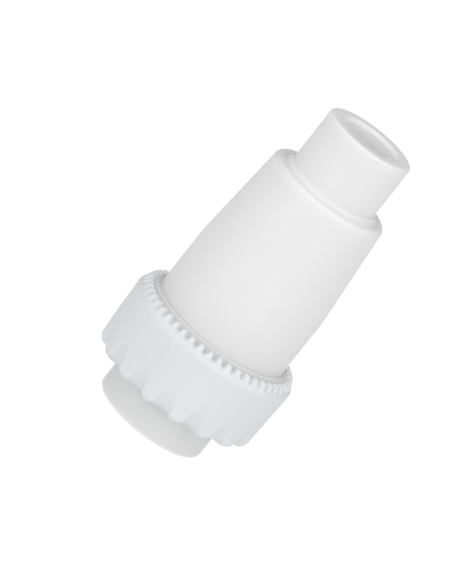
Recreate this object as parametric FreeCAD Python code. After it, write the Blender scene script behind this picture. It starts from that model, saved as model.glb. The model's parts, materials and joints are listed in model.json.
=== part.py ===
"""In-line pneumatic muffler with a union nut, as separate pieces.

Millimetres, +Z up along the bore.  The origin is the centre of the inlet tail's
lower end.  A plastic housing with a bare outlet neck is clamped to the inlet tail
by a lobed union nut, and a bolted silencing cartridge stands on the tail inside it.
"""
import FreeCAD, Part
import math
import os

Vec = FreeCAD.Vector
UP = Vec(0, 0, 1)
ORIGIN = Vec(0, 0, 0)
ARC_STEPS = 6               # straight steps that make a round in an outline

# ---- driving sizes: inlet tail ------------------------------------------------
PIPE_RADIUS = 16.0          # the pipe that the socket takes, and the neck's outside
TAIL_WALL = 4.0
SOCKET_DEPTH = 17.5
PIPE_STOP_WIDTH = 3.0       # shoulder that the pipe's end meets
PIPE_STOP_THICKNESS = 1.9
RECESS_DEPTH = 3.1          # seat of the cartridge in the tail's upper face
COLLAR_WIDTH = 4.2          # collar that the nut pulls on, beyond the tail's outside
COLLAR_THICKNESS = 5.2
TAIL_EDGE = 1.3
COLLAR_EDGE = 0.6

# ---- driving sizes: union nut and thread --------------------------------------
THREAD_PITCH = 3.0
THREAD_OVERLAP = 1.2        # radial height that the two threads share
THREAD_GAP = 0.4            # radial gap at each crest
NUT_WALL = 4.2              # outside the thread's root, at the nut's widest ring
NUT_FLOOR = 3.6
NUT_HEIGHT = 22.8           # lower end to the widest ring
NUT_DRAFT = 0.9             # the nut narrows by this much from its widest ring to its foot
NUT_FOOT_ROUND = 2.6
CROWN_RISE = 1.7            # widest ring to the bottoms of the teeth
CROWN_INSET = 1.9           # widest ring to the tips of the teeth
TOOTH_HEIGHT = 2.1
TOOTH_COUNT = 48
LOBE_COUNT = 16
GRIP_TURN = -10.0           # degrees from the front (-Y) to the nearest lobe
FLUTE_DEPTH = 2.3           # at the nut's foot
FLUTE_FOOT_WIDTH = 5.2
FLUTE_WAIST_DEPTH = 0.6
FLUTE_WAIST_WIDTH = 3.7
FLUTE_WAIST_HEIGHT = 9.2    # nut's lower end to the place where a flute turns shallow
FLUTE_HEAD_DEPTH = 0.15
FLUTE_HEAD_WIDTH = 3.5
FLUTE_HEIGHT = 20.4         # nut's lower end to the head of a flute
FLUTE_FLARE = 0.4           # a flute's sides widen by this per mm of radius
FOOT_BEVEL_HEIGHT = 2.1     # bevel below each flute
FOOT_BEVEL_WIDTH = 3.2
NOTCH_FLOOR = 0.24          # of the tooth pitch, at the bottom of a notch
NOTCH_MOUTH = 0.72          # of the tooth pitch, above the tips
RIDGE_FOOT = 0.5            # of the thread pitch, a ridge's width where it stands
RIDGE_TIP = 0.24            # of the thread pitch, its width at the crest
RIDGE_EMBED = 0.3           # a ridge sinks this far into its wall
SLIP_RING_THICKNESS = 0.8

# ---- driving sizes: housing ---------------------------------------------------
BODY_STEP = 0.1             # thread root to the body's outside
BODY_WALL = 4.2
BODY_LENGTH = 75.9          # sealing face to shoulder
STRAIGHT_LENGTH = 39.3      # sealing face to the start of the taper
TAPER_ANGLE = 5.0           # degrees
BLEND_RADIUS = 60.0         # soft change from the straight part to the taper
SHOULDER_ROUND = 3.7
SHOULDER_FULLNESS = 0.1     # the round starts this far outside the tapered wall
NECK_COLLAR_WIDTH = 1.5
NECK_COLLAR_HEIGHT = 1.5
NECK_LENGTH = 20.3
NECK_EDGE = 0.9
OUTLET_RADIUS = 10.0
TOP_WALL = 4.8
LAND_HEIGHT = 3.3           # plain ring that ends the housing's thread
LAND_RISE = 2.8             # its top, above the bottoms of the crown's teeth
LAND_EDGE = 0.3

# ---- driving sizes: seals and lining ------------------------------------------
SEAL_SECTION = 2.0          # O-ring cord
SEAL_GROOVE_WIDTH = 2.3
SEAL_INSET = 1.4            # housing bore to the middle of the O-ring
RECESS_WALL = 3.5           # between the cartridge seat and the O-ring groove
LINER_SEAT = 0.8            # liner tube inside the housing's narrow end
LINER_WALL = 0.6
LINER_RISE = 1.3            # sealing face to the lining's snap ring
LINER_HOLE = 1.3
LINER_ROW = 5.6             # between rows of holes
LINER_ROW_HOLES = 10
TUBE_MARGIN = 5.0           # tube ends without holes
RETAINER_THICKNESS = 1.0
SNAP_RING_THICKNESS = 0.9
SNAP_RING_WIDTH = 2.0
SNAP_GROOVE_DEPTH = 0.8
SNAP_RING_OPENING = 36.0    # degrees

# ---- driving sizes: outlet disc stack -----------------------------------------
OUTLET_SEAT_RADIUS = 14.5
SCREEN_THICKNESS = 0.8
SCREEN_HOLE = 0.7
SCREEN_PITCH = 2.2
DIFFUSER_THICKNESS = 2.8
DIFFUSER_HOLE = 1.5
DIFFUSER_PITCH = 4.2
SEAT_LIP = 1.0

# ---- driving sizes: cartridge -------------------------------------------------
ANNULUS = 3.2               # free ring between the element and the liner
ELEMENT_THICKNESS = 4.3
CORE_WALL = 0.8
CORE_HOLE = 1.1
CORE_ROW = 5.0
CORE_ROW_HOLES = 8
GASKET_THICKNESS = 0.8
CARRIER_THICKNESS = 2.2
SPIGOT_WALL = 0.9
SPIGOT_HEIGHT = 2.6
SPOKE_COUNT = 4
SPOKE_WIDTH = 1.6
SPOKE_HEIGHT = 3.0
HUB_RADIUS = 3.6
ROD_RADIUS = 2.0
ROD_TAIL = 0.6              # rod end beyond its lower nut
NUT_FLATS = 7.0             # across the flats of the rod's nuts
LOWER_NUT_HEIGHT = 2.4
CAP_NUT_HEIGHT = 2.4
CAP_NUT_DOME = 1.6
WASHER_RADIUS = 3.4
WASHER_THICKNESS = 0.6
CAP_THICKNESS = 2.8
CAP_PLUG_HEIGHT = 3.0
CAP_RIM = 0.4               # cap beyond the element
FIN_COUNT = 4
FIN_WIDTH = 1.6
FIN_HEIGHT = 5.2
FIN_START = 1.5             # beyond the washer's edge
CAP_END_GAP = 1.8           # cartridge's end to the housing's inner step

# ---- clearances ---------------------------------------------------------------
FACE_GAP = 0.1              # faces that meet when the nut is tight
BORE_GAP = 0.4              # nut round the tail, and collar inside the nut
COLLAR_GAP = 0.9            # collar's outside to the nut's thread
SEAT_GAP = 0.1              # a piece in its own recess or on its own rod
FIN_GAP = 0.5               # centring fins inside the liner
CORD_GAP = 0.05             # O-ring cord in its groove
OVERCUT = 1.0               # cutting solids reach this far beyond what they cut

# ---- heights ------------------------------------------------------------------
recess_floor = SOCKET_DEPTH + PIPE_STOP_THICKNESS
tail_top = recess_floor + RECESS_DEPTH
collar_bottom = tail_top - COLLAR_THICKNESS
slip_ring_bottom = collar_bottom - FACE_GAP - SLIP_RING_THICKNESS
nut_bottom = slip_ring_bottom - NUT_FLOOR
nut_corner = nut_bottom + NUT_HEIGHT
crown_valley = nut_corner + CROWN_RISE
crown_top = crown_valley + TOOTH_HEIGHT
housing_bottom = tail_top + FACE_GAP
taper_start = housing_bottom + STRAIGHT_LENGTH
shoulder = housing_bottom + BODY_LENGTH
neck_start = shoulder + NECK_COLLAR_HEIGHT
neck_top = shoulder + NECK_LENGTH + NECK_COLLAR_HEIGHT
land_top = crown_valley + LAND_RISE
land_bottom = land_top - LAND_HEIGHT
seat_top = shoulder - TOP_WALL
diffuser_bottom = seat_top - SCREEN_THICKNESS - DIFFUSER_THICKNESS
outlet_ring_bottom = diffuser_bottom - SNAP_RING_THICKNESS - SEAT_GAP
inner_step = outlet_ring_bottom - SEAT_GAP - SEAT_LIP
lining_ring_bottom = housing_bottom + LINER_RISE + SEAT_GAP
retainer_bottom = lining_ring_bottom + SNAP_RING_THICKNESS + SEAT_GAP
lining_bottom = retainer_bottom + RETAINER_THICKNESS

# ---- radii --------------------------------------------------------------------
tail_radius = PIPE_RADIUS + TAIL_WALL
passage_radius = PIPE_RADIUS - PIPE_STOP_WIDTH
collar_radius = tail_radius + COLLAR_WIDTH
nut_crest = collar_radius + COLLAR_GAP
housing_root = nut_crest - THREAD_GAP
housing_crest = nut_crest + THREAD_OVERLAP
nut_root = housing_crest + THREAD_GAP
nut_radius = nut_root + NUT_WALL
crown_radius = nut_radius - CROWN_INSET
crown_bore = nut_root + BORE_GAP
body_radius = housing_root - BODY_STEP
bore_radius = body_radius - BODY_WALL
taper_slope = math.tan(math.radians(TAPER_ANGLE))
step_radius = bore_radius - (inner_step - taper_start) * taper_slope
liner_outer = step_radius - LINER_SEAT
liner_inner = liner_outer - LINER_WALL
element_outer = liner_inner - ANNULUS
core_outer = element_outer - ELEMENT_THICKNESS
core_inner = core_outer - CORE_WALL
spigot_outer = core_inner - SEAT_GAP
spigot_inner = spigot_outer - SPIGOT_WALL
seal_radius = bore_radius + SEAL_INSET
recess_radius = seal_radius - SEAL_GROOVE_WIDTH / 2 - RECESS_WALL
carrier_radius = recess_radius - SEAT_GAP
rod_hole = ROD_RADIUS + SEAT_GAP

# ---- heights of the cartridge's pieces ----------------------------------------
carrier_bottom = recess_floor + GASKET_THICKNESS
carrier_top = carrier_bottom + CARRIER_THICKNESS
element_bottom = carrier_top + GASKET_THICKNESS
hub_bottom = carrier_top - SPOKE_HEIGHT / 3
hub_top = carrier_top + SPIGOT_HEIGHT
lower_nut_top = hub_bottom - WASHER_THICKNESS
lower_nut_bottom = lower_nut_top - LOWER_NUT_HEIGHT
cap_nut_top = inner_step - CAP_END_GAP
cap_nut_bottom = cap_nut_top - CAP_NUT_HEIGHT - CAP_NUT_DOME
cap_top = cap_nut_bottom - WASHER_THICKNESS
cap_bottom = cap_top - CAP_THICKNESS
element_top = cap_bottom - GASKET_THICKNESS


def ring(inner, outer, bottom, top):
    """A plain ring, or a disc where the inner radius is 0."""
    height = top - bottom
    solid = Part.makeCylinder(outer, height, Vec(0, 0, bottom))
    if inner > 0:
        solid = solid.cut(Part.makeCylinder(inner, height, Vec(0, 0, bottom)))
    return solid


def polygon_wire(points):
    return Part.makePolygon(points + points[:1])


def revolved(outline):
    """Turn a closed list of (radius, height) points about Z."""
    wire = polygon_wire([Vec(radius, 0, height) for radius, height in outline])
    return Part.Face(wire).revolve(ORIGIN, UP, 360)


def turned(shape, degrees):
    copy = shape.copy()
    copy.rotate(ORIGIN, UP, degrees)
    return copy


def around(shape, count, start=0.0):
    """Copies of a shape, evenly spaced about Z."""
    return [turned(shape, start + index * 360.0 / count) for index in range(count)]


def corner_arc(outline_radius, outline_height, radius):
    """Points of a quarter round that ends an outside wall at its top."""
    points = []
    for index in range(ARC_STEPS + 1):
        angle = math.pi / 2 * index / ARC_STEPS
        points.append((outline_radius - radius + radius * math.cos(angle),
                       outline_height - radius + radius * math.sin(angle)))
    return points


def edges_at(solid, radius, height):
    """The circular edges of one radius at one height."""
    found = []
    for edge in solid.Edges:
        circle = edge.Curve
        if not isinstance(circle, Part.Circle) or abs(circle.Radius - radius) > 0.01:
            continue
        if abs(circle.Center.z - height) < 0.01 and abs(circle.Center.x) < 0.01:
            found.append(edge)
    return found


def thread_ridge(root, crest, first_height, last_height):
    """A trapezoidal right-hand ridge that stands on a wall and sinks a little into it."""
    embed = math.copysign(RIDGE_EMBED, crest - root)
    foot = THREAD_PITCH * RIDGE_FOOT / 2
    tip = THREAD_PITCH * RIDGE_TIP / 2
    profile = polygon_wire([Vec(root - embed, 0, -foot), Vec(crest, 0, -tip),
                            Vec(crest, 0, tip), Vec(root - embed, 0, foot)])
    helix = Part.makeHelix(THREAD_PITCH, last_height - first_height, root)
    ridge = Part.Wire(helix).makePipeShell([profile], True, True)
    ridge.translate(Vec(0, 0, first_height))
    return ridge


def snap_ring(inner, outer, bottom):
    """A flat ring with an opening, as it lies in its groove."""
    height = SNAP_RING_THICKNESS
    band = Part.makeCylinder(outer, height, Vec(0, 0, bottom), UP, 360 - SNAP_RING_OPENING)
    return band.cut(Part.makeCylinder(inner, height, Vec(0, 0, bottom)))


def hexagon(flats, bottom, height):
    corner = flats / math.sqrt(3)
    points = []
    for index in range(6):
        angle = math.radians(60 * index)
        points.append(Vec(corner * math.cos(angle), corner * math.sin(angle), bottom))
    return Part.Face(polygon_wire(points)).extrude(Vec(0, 0, height))


def hole_grid(limit, hole, pitch, bottom, height):
    """Cylinders on a triangular grid, as far out as a rim allows."""
    rows = int(limit / (pitch * math.sqrt(0.75))) + 1
    holes = []
    for row in range(-rows, rows + 1):
        y = row * pitch * math.sqrt(0.75)
        for column in range(-rows - 1, rows + 2):
            x = (column + 0.5 * (row % 2)) * pitch
            if math.hypot(x, y) + hole <= limit:
                holes.append(Part.makeCylinder(hole, height, Vec(x, y, bottom)))
    return holes


def perforated_tube(inner, outer, bottom, top, hole, row_pitch, per_row):
    """A tube with staggered rows of round holes."""
    rows = int((top - bottom - 2 * TUBE_MARGIN) / row_pitch) + 1
    first = (bottom + top) / 2 - (rows - 1) * row_pitch / 2
    cutters = []
    for row in range(rows):
        centre = Vec(0, 0, first + row * row_pitch)
        pin = Part.makeCylinder(hole, outer + OVERCUT, centre, Vec(1, 0, 0))
        cutters += around(pin, per_row, 180.0 / per_row * (row % 2))
    return ring(inner, outer, bottom, top).cut(Part.makeCompound(cutters))


def inlet_tail():
    outline = [(PIPE_RADIUS, 0), (tail_radius, 0), (tail_radius, collar_bottom),
               (collar_radius, collar_bottom), (collar_radius, tail_top),
               (recess_radius, tail_top), (recess_radius, recess_floor),
               (passage_radius, recess_floor), (passage_radius, SOCKET_DEPTH),
               (PIPE_RADIUS, SOCKET_DEPTH)]
    solid = revolved(outline)
    solid = solid.makeFillet(TAIL_EDGE, edges_at(solid, tail_radius, 0))
    solid = solid.makeChamfer(COLLAR_EDGE, edges_at(solid, collar_radius, tail_top))
    half = SEAL_GROOVE_WIDTH / 2
    groove = ring(seal_radius - half, seal_radius + half,
                  tail_top - SEAL_SECTION + FACE_GAP, tail_top)
    return solid.cut(groove)


def tail_o_ring():
    height = tail_top - SEAL_SECTION / 2 + FACE_GAP - CORD_GAP
    return Part.makeTorus(seal_radius, SEAL_SECTION / 2 - CORD_GAP, Vec(0, 0, height))


def flute_cutter():
    """A flat-floored groove, widest and deepest at the nut's foot, where it is bevelled."""
    foot_floor = nut_radius - NUT_DRAFT - FLUTE_DEPTH
    bevel_floor = foot_floor - FOOT_BEVEL_WIDTH * (1 + OVERCUT / FOOT_BEVEL_HEIGHT)
    outside = nut_radius + OVERCUT
    sections = []
    for height, width, floor in ((-OVERCUT, FLUTE_FOOT_WIDTH, bevel_floor),
                                 (FOOT_BEVEL_HEIGHT, FLUTE_FOOT_WIDTH, foot_floor),
                                 (FLUTE_WAIST_HEIGHT, FLUTE_WAIST_WIDTH,
                                  nut_radius - FLUTE_WAIST_DEPTH),
                                 (FLUTE_HEIGHT, FLUTE_HEAD_WIDTH,
                                  nut_radius - FLUTE_HEAD_DEPTH)):
        inside_half = width / 2
        outside_half = inside_half + FLUTE_FLARE * (outside - max(floor, foot_floor))
        sections.append(polygon_wire([Vec(floor, -inside_half, nut_bottom + height),
                                      Vec(outside, -outside_half, nut_bottom + height),
                                      Vec(outside, outside_half, nut_bottom + height),
                                      Vec(floor, inside_half, nut_bottom + height)]))
    return Part.makeLoft(sections, True, True)


def tooth_notch():
    """The gap between two crown teeth, cut along a radius."""
    pitch = 2 * math.pi * crown_radius / TOOTH_COUNT
    floor = pitch * NOTCH_FLOOR / 2
    mouth = pitch * NOTCH_MOUTH / 2
    top = crown_top + FACE_GAP
    points = [Vec(0, -floor, crown_valley), Vec(0, floor, crown_valley),
              Vec(0, mouth, top), Vec(0, -mouth, top)]
    face = Part.Face(polygon_wire(points))
    face.translate(Vec(nut_root - OVERCUT, 0, 0))
    return face.extrude(Vec(nut_radius - nut_root + 2 * OVERCUT, 0, 0))


def union_nut():
    foot_radius = nut_radius - NUT_DRAFT
    outline = [(tail_radius + BORE_GAP, nut_bottom)]
    outline += [(radius, 2 * nut_bottom - height) for radius, height
                in reversed(corner_arc(foot_radius, nut_bottom, NUT_FOOT_ROUND))]
    outline += [(nut_radius, nut_corner), (crown_radius, crown_top), (crown_bore, crown_top),
                (crown_bore, land_bottom - FACE_GAP), (nut_root, land_bottom - BORE_GAP),
                (nut_root, slip_ring_bottom), (tail_radius + BORE_GAP, slip_ring_bottom)]
    solid = revolved(outline)
    first = -90 + GRIP_TURN
    flutes = around(flute_cutter(), LOBE_COUNT, first + 180.0 / LOBE_COUNT)
    notches = around(tooth_notch(), TOOTH_COUNT, first + 180.0 / TOOTH_COUNT)
    solid = solid.cut(Part.makeCompound(flutes)).cut(Part.makeCompound(notches))
    lowest = housing_bottom + THREAD_PITCH
    highest = land_bottom - THREAD_PITCH / 4
    return solid.fuse(thread_ridge(nut_root, nut_crest, lowest, highest))


def slip_ring():
    return ring(tail_radius + BORE_GAP, collar_radius, slip_ring_bottom,
                slip_ring_bottom + SLIP_RING_THICKNESS)


def housing_outline():
    """Half section of the housing without its thread, from the sealing face up."""
    top_radius = body_radius - (shoulder - taper_start) * taper_slope
    outside = [(housing_root, housing_bottom), (housing_root, land_bottom),
               (housing_crest, land_bottom + LAND_EDGE), (housing_crest, land_top - LAND_EDGE),
               (housing_crest - LAND_EDGE, land_top), (body_radius, land_top)]
    half_blend = BLEND_RADIUS * math.tan(math.radians(TAPER_ANGLE) / 2)
    for index in range(ARC_STEPS + 1):
        angle = math.radians(TAPER_ANGLE) * index / ARC_STEPS
        outside.append((body_radius - BLEND_RADIUS * (1 - math.cos(angle)),
                        taper_start - half_blend + BLEND_RADIUS * math.sin(angle)))
    outside += corner_arc(top_radius + SHOULDER_FULLNESS, shoulder, SHOULDER_ROUND)
    neck_collar = PIPE_RADIUS + NECK_COLLAR_WIDTH
    outside += [(neck_collar, shoulder), (neck_collar, neck_start), (PIPE_RADIUS, neck_start)]
    outside += corner_arc(PIPE_RADIUS, neck_top, NECK_EDGE)
    inside = [(OUTLET_RADIUS, neck_top), (OUTLET_RADIUS, seat_top),
              (OUTLET_SEAT_RADIUS, seat_top), (OUTLET_SEAT_RADIUS, inner_step),
              (step_radius, inner_step), (bore_radius, taper_start),
              (bore_radius, housing_bottom)]
    return outside + inside


def housing():
    solid = revolved(housing_outline())
    lining_groove = ring(0, bore_radius + SNAP_GROOVE_DEPTH, lining_ring_bottom - SEAT_GAP,
                         retainer_bottom)
    outlet_groove = ring(0, OUTLET_SEAT_RADIUS + SNAP_GROOVE_DEPTH,
                         outlet_ring_bottom - SEAT_GAP, diffuser_bottom)
    solid = solid.cut(lining_groove).cut(outlet_groove)
    lowest = housing_bottom + THREAD_PITCH / 2
    highest = land_bottom - THREAD_PITCH / 4
    return solid.fuse(thread_ridge(housing_root, housing_crest, lowest, highest))


def absorber_sleeve():
    """Felt between the liner and the housing wall, narrowing with the housing."""
    inner = liner_outer + SEAT_GAP
    top = inner_step - SEAT_GAP
    return revolved([(inner, lining_bottom), (bore_radius - SEAT_GAP, lining_bottom),
                     (bore_radius - SEAT_GAP, taper_start), (step_radius - SEAT_GAP, top),
                     (inner, top)])


def liner_tube():
    return perforated_tube(liner_inner, liner_outer, lining_bottom, inner_step,
                           LINER_HOLE, LINER_ROW, LINER_ROW_HOLES)


def lining_retainer():
    return ring(liner_inner, bore_radius - SEAT_GAP, retainer_bottom, lining_bottom)


def lining_snap_ring():
    return snap_ring(bore_radius + SNAP_GROOVE_DEPTH - SNAP_RING_WIDTH - SEAT_GAP,
                     bore_radius + SNAP_GROOVE_DEPTH - SEAT_GAP, lining_ring_bottom)


def outlet_screen():
    disc = ring(0, OUTLET_SEAT_RADIUS - SEAT_GAP, seat_top - SCREEN_THICKNESS, seat_top)
    holes = hole_grid(OUTLET_RADIUS, SCREEN_HOLE, SCREEN_PITCH,
                      seat_top - SCREEN_THICKNESS, SCREEN_THICKNESS)
    return disc.cut(Part.makeCompound(holes))


def outlet_diffuser():
    disc = ring(0, OUTLET_SEAT_RADIUS - SEAT_GAP, diffuser_bottom,
                diffuser_bottom + DIFFUSER_THICKNESS)
    holes = hole_grid(OUTLET_RADIUS, DIFFUSER_HOLE, DIFFUSER_PITCH, diffuser_bottom,
                      DIFFUSER_THICKNESS)
    return disc.cut(Part.makeCompound(holes))


def outlet_snap_ring():
    return snap_ring(OUTLET_SEAT_RADIUS + SNAP_GROOVE_DEPTH - SNAP_RING_WIDTH - SEAT_GAP,
                     OUTLET_SEAT_RADIUS + SNAP_GROOVE_DEPTH - SEAT_GAP, outlet_ring_bottom)


def carrier_gasket():
    return ring(passage_radius, carrier_radius, recess_floor, carrier_bottom)


def cartridge_carrier():
    """Flange with a spoked hub that holds the rod, and a spigot for the support tube."""
    solid = ring(spigot_inner, carrier_radius, carrier_bottom, carrier_top)
    solid = solid.fuse(ring(spigot_inner, spigot_outer, carrier_top, hub_top))
    solid = solid.fuse(ring(0, HUB_RADIUS, hub_bottom, hub_top))
    spoke = Part.makeBox(spigot_inner + SPIGOT_WALL / 2, SPOKE_WIDTH, SPOKE_HEIGHT,
                         Vec(0, -SPOKE_WIDTH / 2, hub_bottom))
    solid = solid.fuse(around(spoke, SPOKE_COUNT, 180.0 / SPOKE_COUNT))
    return solid.cut(ring(0, rod_hole, hub_bottom - OVERCUT, hub_top + OVERCUT))


def element_gaskets():
    """The flat seals at both ends of the silencing element."""
    inner = core_outer + SEAT_GAP
    lower = ring(inner, element_outer, carrier_top, element_bottom)
    upper = ring(inner, element_outer, element_top, cap_bottom)
    return Part.makeCompound([lower, upper])


def silencing_element():
    return ring(core_outer + SEAT_GAP, element_outer, element_bottom, element_top)


def support_tube():
    return perforated_tube(core_inner, core_outer, carrier_top, cap_bottom,
                           CORE_HOLE, CORE_ROW, CORE_ROW_HOLES)


def cartridge_cap():
    """Closed end with fins that keep the cartridge central in the liner."""
    solid = ring(0, element_outer + CAP_RIM, cap_bottom, cap_top)
    solid = solid.fuse(ring(0, spigot_outer, cap_bottom - CAP_PLUG_HEIGHT, cap_bottom))
    fin_start = WASHER_RADIUS + FIN_START
    fin = Part.makeBox(liner_inner - FIN_GAP - fin_start, FIN_WIDTH, FIN_HEIGHT,
                       Vec(fin_start, -FIN_WIDTH / 2, cap_bottom))
    solid = solid.fuse(around(fin, FIN_COUNT))
    return solid.cut(ring(0, rod_hole, cap_bottom - CAP_PLUG_HEIGHT - OVERCUT,
                          cap_top + OVERCUT))


def tie_rod():
    return ring(0, ROD_RADIUS, lower_nut_bottom - ROD_TAIL, cap_nut_bottom + CAP_NUT_HEIGHT)


def tie_rod_washers():
    lower = ring(rod_hole, WASHER_RADIUS, lower_nut_top, hub_bottom)
    upper = ring(rod_hole, WASHER_RADIUS, cap_top, cap_nut_bottom)
    return Part.makeCompound([lower, upper])


def lower_rod_nut():
    return hexagon(NUT_FLATS, lower_nut_bottom, LOWER_NUT_HEIGHT).cut(
        ring(0, ROD_RADIUS, lower_nut_bottom, lower_nut_top))


def cap_nut():
    """Domed hexagon nut with a blind hole for the rod."""
    body = hexagon(NUT_FLATS, cap_nut_bottom, CAP_NUT_HEIGHT)
    dome = Part.makeCone(NUT_FLATS / 2 - SEAT_GAP, NUT_FLATS / 4, CAP_NUT_DOME,
                         Vec(0, 0, cap_nut_bottom + CAP_NUT_HEIGHT))
    return body.fuse(dome).cut(ring(0, ROD_RADIUS, cap_nut_bottom,
                                    cap_nut_bottom + CAP_NUT_HEIGHT))


PIECES = [inlet_tail, tail_o_ring, union_nut, slip_ring, housing, absorber_sleeve, liner_tube,
          lining_retainer, lining_snap_ring, outlet_screen, outlet_diffuser, outlet_snap_ring,
          carrier_gasket, cartridge_carrier, element_gaskets, silencing_element, support_tube,
          cartridge_cap, tie_rod, tie_rod_washers, lower_rod_nut, cap_nut]


def main():
    os.makedirs("parts", exist_ok=True)
    for piece in PIECES:
        shape = piece()
        if not shape.isValid():
            raise ValueError(piece.__name__ + " is not a valid shape")
        shape.exportStep("parts/" + piece.__name__ + ".step")
        print(piece.__name__, len(shape.Solids), round(shape.Volume, 1))


main()
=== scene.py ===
"""Looks of an in-line pneumatic muffler with a union nut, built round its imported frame.

Every length is in metres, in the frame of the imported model: +Z runs up the bore from
the inlet tail's lower end, and -Y is the front.
"""
import json
import math

import bmesh
import bpy
import numpy as np
from mathutils import Matrix, Vector

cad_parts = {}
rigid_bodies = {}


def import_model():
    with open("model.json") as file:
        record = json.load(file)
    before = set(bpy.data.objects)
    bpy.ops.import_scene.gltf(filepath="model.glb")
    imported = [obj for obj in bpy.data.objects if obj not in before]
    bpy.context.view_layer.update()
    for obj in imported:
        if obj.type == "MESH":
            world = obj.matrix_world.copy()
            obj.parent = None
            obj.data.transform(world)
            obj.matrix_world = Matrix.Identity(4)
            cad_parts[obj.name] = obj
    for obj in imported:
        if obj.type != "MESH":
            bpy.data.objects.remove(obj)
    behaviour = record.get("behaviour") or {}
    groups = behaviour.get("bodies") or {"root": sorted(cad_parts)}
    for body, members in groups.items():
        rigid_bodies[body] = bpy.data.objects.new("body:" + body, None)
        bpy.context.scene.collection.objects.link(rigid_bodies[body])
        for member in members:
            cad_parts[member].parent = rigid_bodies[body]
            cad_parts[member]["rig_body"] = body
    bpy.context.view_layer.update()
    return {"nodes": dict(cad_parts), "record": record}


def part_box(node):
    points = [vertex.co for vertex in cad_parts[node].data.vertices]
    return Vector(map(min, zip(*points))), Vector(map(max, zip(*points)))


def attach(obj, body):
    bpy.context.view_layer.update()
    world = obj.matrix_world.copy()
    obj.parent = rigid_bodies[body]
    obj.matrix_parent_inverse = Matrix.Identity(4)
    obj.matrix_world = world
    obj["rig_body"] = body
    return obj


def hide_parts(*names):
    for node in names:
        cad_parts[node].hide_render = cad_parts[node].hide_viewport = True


bl_info = {
    "name": "In-line pneumatic muffler",
    "version": (1, 0, 0),
    "blender": (4, 5, 0),
    "location": "View3D > Sidebar > Muffler",
    "description": "Builds the looks of a plastic in-line muffler with a union nut",
    "category": "Add Mesh",
}

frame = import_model()

MM = 0.001
TURN = 2 * math.pi
AROUND = 256                # columns of a plain turned piece


# ---- sizes taken from the frame -------------------------------------------------

def node_radius(node):
    return max(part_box(node)[1].x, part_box(node)[1].y)


def node_bottom(node):
    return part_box(node)[0].z


def node_top(node):
    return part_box(node)[1].z


def node_inner_tail():
    """Bore of the nut's floor and of the slip ring, round the tail."""
    tail = bpy.context.scene.muffler_tail
    return PIPE_RADIUS + tail.wall + tail.nut_gap


def mount_radius(name):
    mounts = frame["record"]["mounts"]
    return next(m["dims"]["r_mm"] for m in mounts if m["name"] == name) * MM


PIPE_RADIUS = mount_radius("inlet_socket")
NUT_RADIUS = node_radius("union_nut")
FACE_GAP = 0.1 * MM         # between pieces that meet
HOLLOW_GLOW = 0.18          # painted light: emission at the bottom of a hollow, so that it does not go dark
HOLLOW_REACH = 9 * MM       # how far a hollow is looked for
HOLLOW_OPEN = 0.6           # share of open sky from which a hollow's painted light has faded out
BORE_GLOW = 0.50            # the same painted light, stronger, inside the outlet's neck
BORE_LIGHT = 0.055          # painted light all over the neck's bore, open places too
BORE_GLOW_FADE = (0.5 * MM, 2.5 * MM)       # outside the bore's radius, where that painted light ends
BORE_LIGHT_FADE = (0.1 * MM, 0.9 * MM)
FOOT_SHADE_REACH = 20 * MM        # how far above its land the housing gets painted shade
LAND_SHADE_STEP = (0.05 * MM, 0.35 * MM)          # outside the body, where the land's painted shade starts
TENT_LEAN = (0.08, -0.56, 0.60)             # the tent is brighter in front and above
TENT_LEVEL = 0.44
TENT_DARKEST = 0.04
TENT_COLOUR = (1.0, 1.0, 0.975, 1)
STRIP_COLOUR = (0.96, 0.97, 1.0)
STRIP_WIDTH = 0.25
STRIP_HEIGHT = 0.75
STRIPS = (("left_strip", (-0.60, -1.0, 0.35), 0.75), ("right_strip", (0.72, -1.0, 0.35), 0.6))
FLOOR_HALF = 4.0
TABLE_LIGHT = 0.84          # the light table's strength as a light
TABLE_WHITE = 1.06          # and to the camera
LAMP_AIM = 60 * MM          # height that the strips point at
FLANK_SOFTNESS = 0.8 * MM   # of the corner between a flute's floor and its flank
FLUTE_EDGE = 0.6 * MM       # of the corner between a flank and the nut's outside
FLUTE_POWER = 1.4           # how a flute deepens below its waist
FOOT_ROUND = 2.6 * MM       # of the nut's lower edge
FIN_WIDTH = 1.6 * MM        # of the cap's centring fins
HUB_DROP = 1.6 * MM         # of the carrier's hub below its spokes
FLUTES_END = 24 * MM        # above the nut's lower end
GRIP_WALL = 4 * MM          # only this much of the nut's outside is cut
TOOTH_TIP, TOOTH_FOOT = 0.26, 0.78          # shares of half the teeth's pitch
VALLEY_SHARE = 0.03         # of a tooth's height that stays in a valley
NEAR = 1e-7                 # heights closer than this are the same


def length(name, description, default_mm):
    """A length property whose default is given in millimetres."""
    return bpy.props.FloatProperty(name=name, description=description, default=default_mm * MM,
                                   unit="LENGTH", precision=5)


def colour(name, description, hex_value):
    """A colour property whose default is an sRGB hex value, kept as linear light."""
    return bpy.props.FloatVectorProperty(name=name, description=description, subtype="COLOR",
                                         size=3, min=0, max=1, default=linear(hex_value))


def linear(hex_value):
    """sRGB hex to linear light, by the standard piecewise curve."""
    shares = [int(hex_value[i:i + 2], 16) / 255 for i in (1, 3, 5)]
    return tuple(s / 12.92 if s <= 0.04045 else ((s + 0.055) / 1.055) ** 2.4 for s in shares)


class TailSizes(bpy.types.PropertyGroup):
    """The inlet tail with its socket, its collar and its seal groove."""
    wall: length("Wall", "Wall round the socket", 4.0)
    socket_depth: length("Socket depth", "Depth of the pipe socket", 17.5)
    stop_width: length("Stop width", "Shoulder that the pipe's end meets", 3.0)
    edge: length("Edge", "Round of the tail's lower end", 1.3)
    groove_width: length("Groove width", "Width of the O-ring's groove", 2.3)
    groove_depth: length("Groove depth", "Depth of the O-ring's groove", 1.9)
    slip_edge: length("Slip ring edge", "Round of the slip ring's edges", 0.15)
    nut_gap: length("Nut gap", "Gap between the tail and the nut", 0.4)


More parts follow.
